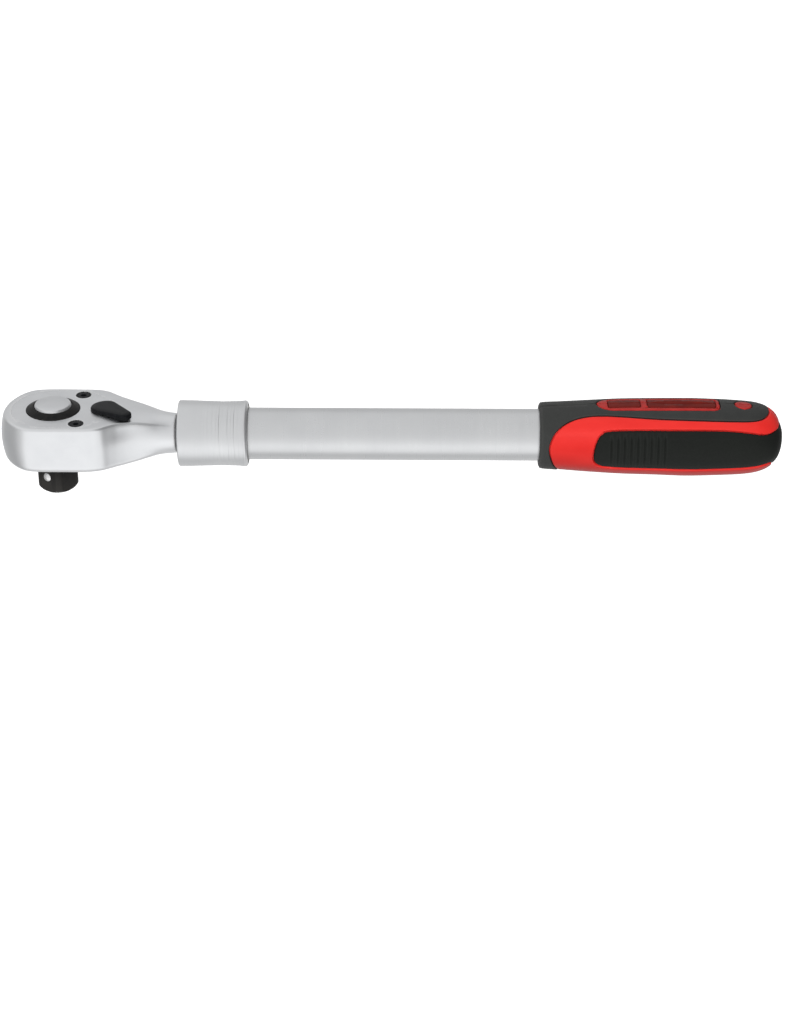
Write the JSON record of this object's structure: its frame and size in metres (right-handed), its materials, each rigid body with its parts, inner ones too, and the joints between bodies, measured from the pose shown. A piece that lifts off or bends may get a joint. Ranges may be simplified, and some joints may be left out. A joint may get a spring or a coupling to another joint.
{
  "type": "extendable ratchet wrench",
  "caption": "Reversible square-drive ratchet with a quick-release button and reversing lever, on a telescopic handle locked by a sprung collar, with a red and black moulded grip.",
  "frame": {"origin": "centre of the drive square's end face", "axes": "+X along the handle towards the grip, +Z out of the selector side of the head, so the drive square points along -Z"},
  "size_m": [0.3063, 0.0368, 0.038],
  "materials": {
    "satin_chrome": "satin",
    "polished_steel": "polished",
    "black_oxide_steel": "black oxide",
    "spring_steel": "drawn wire",
    "bearing_bronze": "turned",
    "red_plastic": "semi-gloss moulded",
    "black_rubber": "matte moulded"
  },
  "bodies": {
    "head": {"head_body": "satin_chrome", "cover_plate": "satin_chrome", "cover_screw_1": "black_oxide_steel", "cover_screw_2": "black_oxide_steel", "pawl_pin": "polished_steel", "telescopic_rod": "satin_chrome", "rod_guide": "bearing_bronze", "rod_end_screw": "black_oxide_steel"},
    "drive": {"drive_gear": "black_oxide_steel", "release_spring": "spring_steel"},
    "release_button": {"release_button": "polished_steel", "release_plunger": "polished_steel"},
    "drive_ball": {"drive_ball": "polished_steel"},
    "selector": {"selector_lever": "black_oxide_steel", "selector_plunger": "polished_steel", "selector_spring": "spring_steel", "selector_circlip": "black_oxide_steel"},
    "pawl": {"pawl": "black_oxide_steel"},
    "handle": {"handle_tube": "satin_chrome", "nose_bush": "bearing_bronze", "collar_retaining_ring": "spring_steel", "spring_seat_ring": "spring_steel", "lock_spring": "spring_steel", "grip_core": "red_plastic", "grip_overmold": "black_rubber", "grip_label": "red_plastic", "grip_badge": "red_plastic"},
    "lock_collar": {"lock_collar": "satin_chrome"},
    "lock_ball_1": {"lock_ball_1": "polished_steel"},
    "lock_ball_2": {"lock_ball_2": "polished_steel"},
    "lock_ball_3": {"lock_ball_3": "polished_steel"}
  },
  "joints": [
    {"name": "drive_spin", "type": "hinge", "parent": "head", "child": "drive", "pos_m": [0, 0, 0], "axis": [0, 0, 1], "continuous": true},
    {"name": "button_push", "type": "slide", "parent": "drive", "child": "release_button", "axis": [0, 0, -1], "range_m": [0, 0.0022], "stiffness_N_per_m": 900, "springref_m": -0.0015, "deforming": ["release_spring"]},
    {"name": "drive_ball_retract", "type": "slide", "parent": "drive", "child": "drive_ball", "axis": [0.5736, 0.8192, 0], "range_m": [0, 0.00096]},
    {"name": "selector_turn", "type": "hinge", "parent": "head", "child": "selector", "pos_m": [0.02, 0, 0.0235], "axis": [0, 0, 1], "range_deg": [0, 84]},
    {"name": "pawl_rock", "type": "hinge", "parent": "head", "child": "pawl", "pos_m": [0.01495, 0, 0.0235], "axis": [0, 0, 1], "range_deg": [-8.1, 0]},
    {"name": "handle_extend", "type": "slide", "parent": "head", "child": "handle", "axis": [1, 0, 0], "range_m": [0, 0.14]},
    {"name": "collar_pull", "type": "slide", "parent": "handle", "child": "lock_collar", "axis": [1, 0, 0], "range_m": [0, 0.006], "stiffness_N_per_m": 700, "springref_m": -0.006, "deforming": ["lock_spring"]},
    {"name": "lock_ball_1_out", "type": "slide", "parent": "handle", "child": "lock_ball_1", "axis": [0, 0, 1], "range_m": [0, 0.00046]},
    {"name": "lock_ball_2_out", "type": "slide", "parent": "handle", "child": "lock_ball_2", "axis": [0, -0.866, -0.5], "range_m": [0, 0.00046]},
    {"name": "lock_ball_3_out", "type": "slide", "parent": "handle", "child": "lock_ball_3", "axis": [0, 0.866, -0.5], "range_m": [0, 0.00046]}
  ],
  "couplings": [
    {"joint": "drive_ball_retract", "follows": "button_push", "ratio": 0.43182},
    {"joint": "pawl_rock", "follows": "selector_turn", "ratio": -0.095238},
    {"joint": "lock_ball_1_out", "follows": "collar_pull", "ratio": 0.075},
    {"joint": "lock_ball_2_out", "follows": "collar_pull", "ratio": 0.075},
    {"joint": "lock_ball_3_out", "follows": "collar_pull", "ratio": 0.075}
  ]
}
